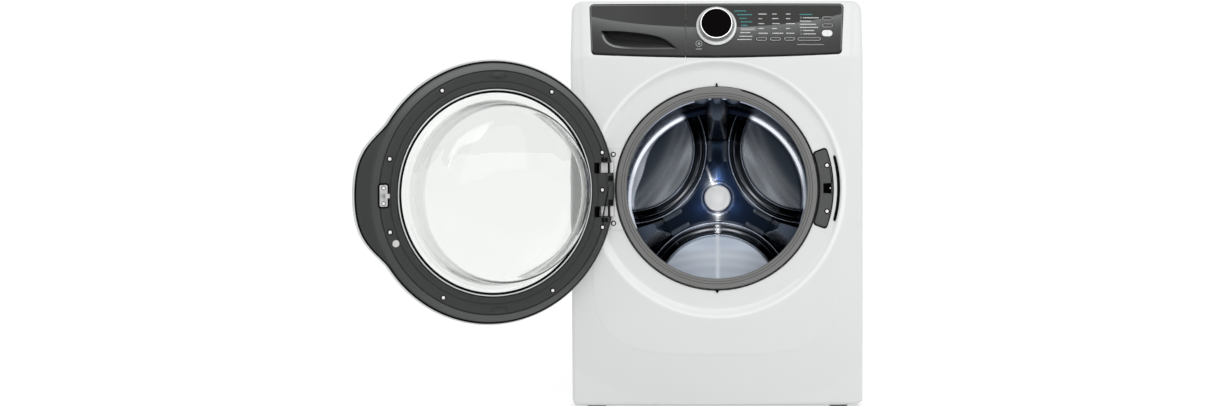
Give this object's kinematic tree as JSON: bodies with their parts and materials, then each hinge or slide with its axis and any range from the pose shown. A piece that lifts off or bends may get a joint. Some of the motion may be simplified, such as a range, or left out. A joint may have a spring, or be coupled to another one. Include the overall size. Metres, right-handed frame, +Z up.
{
  "type": "front load washing machine",
  "caption": "Front load washing machine with a round hinged glass door, a steel drum in a sprung tub, a bowed control console with a turning dial, press keys and a detergent drawer.",
  "frame": {"origin": "on the floor, at the middle of the four levelling feet", "axes": "+Z up, the front and its door face -Y, +X to the right of someone facing the front; the drum axis runs back and 5.5 degrees down"},
  "size_m": [1.1179, 1.1195, 0.968],
  "materials": {
    "white_panel": "white baked enamel on steel",
    "galvanised": "bare zinc coated sheet",
    "foot": "moulded feet",
    "console": "dark grey satin moulding",
    "button": "dark key caps",
    "start_button": "pale key cap",
    "knob": "satin silver paint",
    "knob_face": "black gloss",
    "inner_plastic": "plain moulding",
    "board": "circuit board",
    "tub": "filled polypropylene",
    "heater": "sheathed element",
    "bearing": "ground steel",
    "weight": "cast blocks",
    "gasket": "grey elastomer",
    "spring_steel": "spring steel",
    "drum_steel": "polished stainless sheet",
    "baffle": "grey lifters",
    "casting": "die cast",
    "shaft": "turned steel",
    "motor": "wound motor with end bells",
    "belt": "ribbed belt",
    "damper": "friction struts",
    "hose": "grey hose",
    "dark_trim": "dark grey cover",
    "slit": "black liner",
    "bracket": "pale grey finish",
    "screw": "plated screws",
    "door_ring": "dark grey moulding",
    "door_shell": "silver outer ring",
    "door_window": "clear outer pane",
    "door_glass": "clear bowl",
    "latch_metal": "plated steel",
    "bumper": "white plug"
  },
  "bodies": {
    "cabinet": {"base_pan": "galvanised", "control_board": "board", "control_fascia": "console", "control_housing": "inner_plastic", "counterweights": "weight", "dampers": "damper", "dispenser_housing": "inner_plastic", "door_gasket": "gasket", "door_lock": "inner_plastic", "drain_pump": "inner_plastic", "drive_belt": "belt", "drum_bearings": "bearing", "front_panel": "white_panel", "gasket_clamp": "spring_steel", "hinge_bracket": "bracket", "hinge_pins": "bearing", "hoses": "hose", "inlet_valves": "inner_plastic", "latch_cover": "dark_trim", "levelling_feet": "foot", "motor": "motor", "panel_screws": "screw", "rear_cover": "galvanised", "rear_fittings": "inner_plastic", "rear_panel": "galvanised", "side_panel_left": "white_panel", "side_panel_right": "white_panel", "slit_liner": "slit", "suspension_springs": "spring_steel", "top_panel": "white_panel", "tub_front": "tub", "tub_heater": "heater", "tub_rear": "tub"},
    "drum": {"drum_shell": "drum_steel", "drum_back": "drum_steel", "drum_baffles": "baffle", "drum_hub_cap": "drum_steel", "drum_spider": "casting", "drum_shaft": "shaft", "drum_pulley": "casting"},
    "motor_pulley": {"motor_pulley": "shaft"},
    "door": {"door_inner_frame": "door_ring", "door_outer_shell": "door_shell", "door_window": "door_window", "door_glass": "door_glass", "door_screws": "screw", "door_strike": "latch_metal", "door_bumper": "bumper", "door_hinge_leaf": "latch_metal"},
    "knob": {"program_knob": "knob", "knob_face": "knob_face"},
    "drawer": {"drawer_front": "console", "drawer_tray": "inner_plastic"},
    "button_temperature": {"button_temperature": "button"},
    "button_soil": {"button_soil": "button"},
    "button_spin": {"button_spin": "button"},
    "button_options": {"button_options": "button"},
    "button_power": {"button_power": "button"},
    "button_cancel": {"button_cancel": "button"},
    "button_start": {"button_start": "start_button"}
  },
  "joints": [
    {"name": "door_hinge", "type": "hinge", "parent": "cabinet", "child": "door", "pos_m": [-0.268, -0.39, 0.525], "axis": [0, 0, 1], "range_deg": [0, 148.75]},
    {"name": "drum_spin", "type": "hinge", "parent": "cabinet", "child": "drum", "pos_m": [0, -0.36, 0.525], "axis": [0, 0.9954, -0.0958], "continuous": true},
    {"name": "motor_spin", "type": "hinge", "parent": "cabinet", "child": "motor_pulley", "pos_m": [0.15, -0.39192, 0.19353], "axis": [0, 0.9954, -0.0958], "continuous": true},
    {"name": "knob_turn", "type": "hinge", "parent": "cabinet", "child": "knob", "pos_m": [0, -0.36236, 0.9056], "axis": [0, -0.9613, 0.2756], "continuous": true},
    {"name": "drawer_slide", "type": "slide", "parent": "cabinet", "child": "drawer", "axis": [0, -1, 0], "range_m": [0, 0.24]},
    {"name": "temperature_press", "type": "slide", "parent": "cabinet", "child": "button_temperature", "axis": [-0.0223, 0.961, -0.2756], "range_m": [0, 0.0012], "stiffness_N_per_m": 400},
    {"name": "soil_press", "type": "slide", "parent": "cabinet", "child": "button_soil", "axis": [-0.0293, 0.9608, -0.2755], "range_m": [0, 0.0012], "stiffness_N_per_m": 400},
    {"name": "spin_press", "type": "slide", "parent": "cabinet", "child": "button_spin", "axis": [-0.0363, 0.9606, -0.2755], "range_m": [0, 0.0012], "stiffness_N_per_m": 400},
    {"name": "options_press", "type": "slide", "parent": "cabinet", "child": "button_options", "axis": [-0.046, 0.9602, -0.2753], "range_m": [0, 0.0012], "stiffness_N_per_m": 400},
    {"name": "power_press", "type": "slide", "parent": "cabinet", "child": "button_power", "axis": [-0.0554, 0.9598, -0.2752], "range_m": [0, 0.0012], "stiffness_N_per_m": 400},
    {"name": "cancel_press", "type": "slide", "parent": "cabinet", "child": "button_cancel", "axis": [-0.0554, 0.9598, -0.2752], "range_m": [0, 0.0012], "stiffness_N_per_m": 400},
    {"name": "start_press", "type": "slide", "parent": "cabinet", "child": "button_start", "axis": [-0.0551, 0.9598, -0.2752], "range_m": [0, 0.0012], "stiffness_N_per_m": 400}
  ],
  "couplings": [
    {"joint": "motor_spin", "follows": "drum_spin", "ratio": 13}
  ]
}
